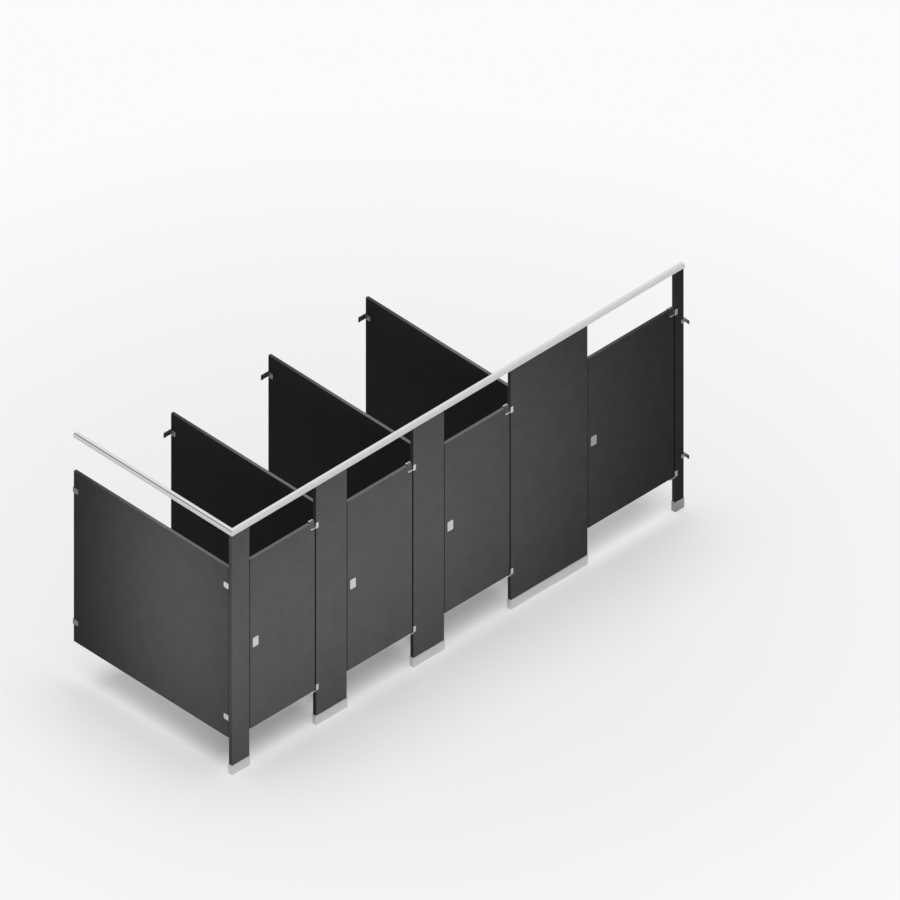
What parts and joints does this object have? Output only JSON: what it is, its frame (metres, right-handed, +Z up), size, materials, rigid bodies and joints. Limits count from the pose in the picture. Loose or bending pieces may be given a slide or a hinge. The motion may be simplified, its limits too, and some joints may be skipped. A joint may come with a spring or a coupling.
{
  "type": "toilet partition",
  "caption": "Overhead-braced row of toilet stalls for a room corner: charcoal boards, swinging latched doors, aluminium headrail, steel shoes and chrome brackets.",
  "frame": {"origin": "on the floor, under the middle of the whole row's box", "axes": "+X along the front from the open left end to the side wall, +Y from the front to the back wall, +Z up from the floor"},
  "size_m": [4.376, 1.616, 2.1155],
  "materials": {
    "charcoal_board": "charcoal matte plastic laminate on particleboard, faint fine texture",
    "rail_aluminium": "bright anodized satin",
    "rail_insert_aluminium": "mill finish",
    "shoe_steel": "satin brushed stainless",
    "hardware_chrome": "chrome plated, satin",
    "plated_steel": "zinc plated",
    "bushing_nylon": "natural nylon",
    "bumper_rubber": "matte black rubber"
  },
  "bodies": {
    "frame": {"pilaster_1": "charcoal_board", "shoe_1": "shoe_steel", "pilaster_2": "charcoal_board", "shoe_2": "shoe_steel", "pilaster_3": "charcoal_board", "shoe_3": "shoe_steel", "pilaster_4": "charcoal_board", "shoe_4": "shoe_steel", "pilaster_5": "charcoal_board", "shoe_5": "shoe_steel", "floor_bars": "plated_steel", "levelling_studs": "plated_steel", "levelling_nuts": "plated_steel", "end_panel": "charcoal_board", "divider_panel_1": "charcoal_board", "divider_panel_2": "charcoal_board", "divider_panel_3": "charcoal_board", "headrail_front": "rail_aluminium", "headrail_return": "rail_aluminium", "headrail_corner_plate": "rail_insert_aluminium", "headrail_wall_sockets": "rail_insert_aluminium", "panel_front_brackets": "hardware_chrome", "panel_wall_brackets": "hardware_chrome", "pilaster_wall_brackets": "hardware_chrome", "bracket_bolts": "hardware_chrome", "hinge_brackets": "hardware_chrome", "keepers": "hardware_chrome", "hinge_pins": "plated_steel", "keeper_bumpers": "bumper_rubber"},
    "door_1": {"door_1": "charcoal_board", "door_1_hinge_block": "hardware_chrome", "door_1_bushings": "bushing_nylon", "door_1_latch_plate": "hardware_chrome", "door_1_latch_case": "hardware_chrome", "door_1_coat_hook": "hardware_chrome"},
    "door_2": {"door_2": "charcoal_board", "door_2_hinge_block": "hardware_chrome", "door_2_bushings": "bushing_nylon", "door_2_latch_plate": "hardware_chrome", "door_2_latch_case": "hardware_chrome", "door_2_coat_hook": "hardware_chrome"},
    "door_3": {"door_3": "charcoal_board", "door_3_hinge_block": "hardware_chrome", "door_3_bushings": "bushing_nylon", "door_3_latch_plate": "hardware_chrome", "door_3_latch_case": "hardware_chrome", "door_3_coat_hook": "hardware_chrome"},
    "door_4": {"door_4": "charcoal_board", "door_4_hinge_block": "hardware_chrome", "door_4_bushings": "bushing_nylon", "door_4_latch_plate": "hardware_chrome", "door_4_latch_case": "hardware_chrome", "door_4_coat_hook": "hardware_chrome"},
    "latch_bolt_1": {"latch_bolt_1": "hardware_chrome"},
    "latch_bolt_2": {"latch_bolt_2": "hardware_chrome"},
    "latch_bolt_3": {"latch_bolt_3": "hardware_chrome"},
    "latch_bolt_4": {"latch_bolt_4": "hardware_chrome"}
  },
  "joints": [
    {"name": "door_1_hinge", "type": "hinge", "parent": "frame", "child": "door_1", "pos_m": [-1.404, -0.74813, 1.0415], "axis": [0, 0, -1], "range_deg": [0, 90], "stiffness_Nm_per_rad": 1.5},
    {"name": "door_2_hinge", "type": "hinge", "parent": "frame", "child": "door_2", "pos_m": [-0.465, -0.74813, 1.0415], "axis": [0, 0, -1], "range_deg": [0, 90], "stiffness_Nm_per_rad": 1.5},
    {"name": "door_3_hinge", "type": "hinge", "parent": "frame", "child": "door_3", "pos_m": [0.474, -0.74813, 1.0415], "axis": [0, 0, -1], "range_deg": [0, 90], "stiffness_Nm_per_rad": 1.5},
    {"name": "door_4_hinge", "type": "hinge", "parent": "frame", "child": "door_4", "pos_m": [2.0585, -0.74813, 1.0415], "axis": [0, 0, 1], "range_deg": [0, 90], "stiffness_Nm_per_rad": 1.5},
    {"name": "latch_bolt_1_slide", "type": "slide", "parent": "door_1", "child": "latch_bolt_1", "axis": [-1, 0, 0], "range_m": [0, 0.022]},
    {"name": "latch_bolt_2_slide", "type": "slide", "parent": "door_2", "child": "latch_bolt_2", "axis": [-1, 0, 0], "range_m": [0, 0.022]},
    {"name": "latch_bolt_3_slide", "type": "slide", "parent": "door_3", "child": "latch_bolt_3", "axis": [-1, 0, 0], "range_m": [0, 0.022]},
    {"name": "latch_bolt_4_slide", "type": "slide", "parent": "door_4", "child": "latch_bolt_4", "axis": [-1, 0, 0], "range_m": [0, 0.022]}
  ]
}
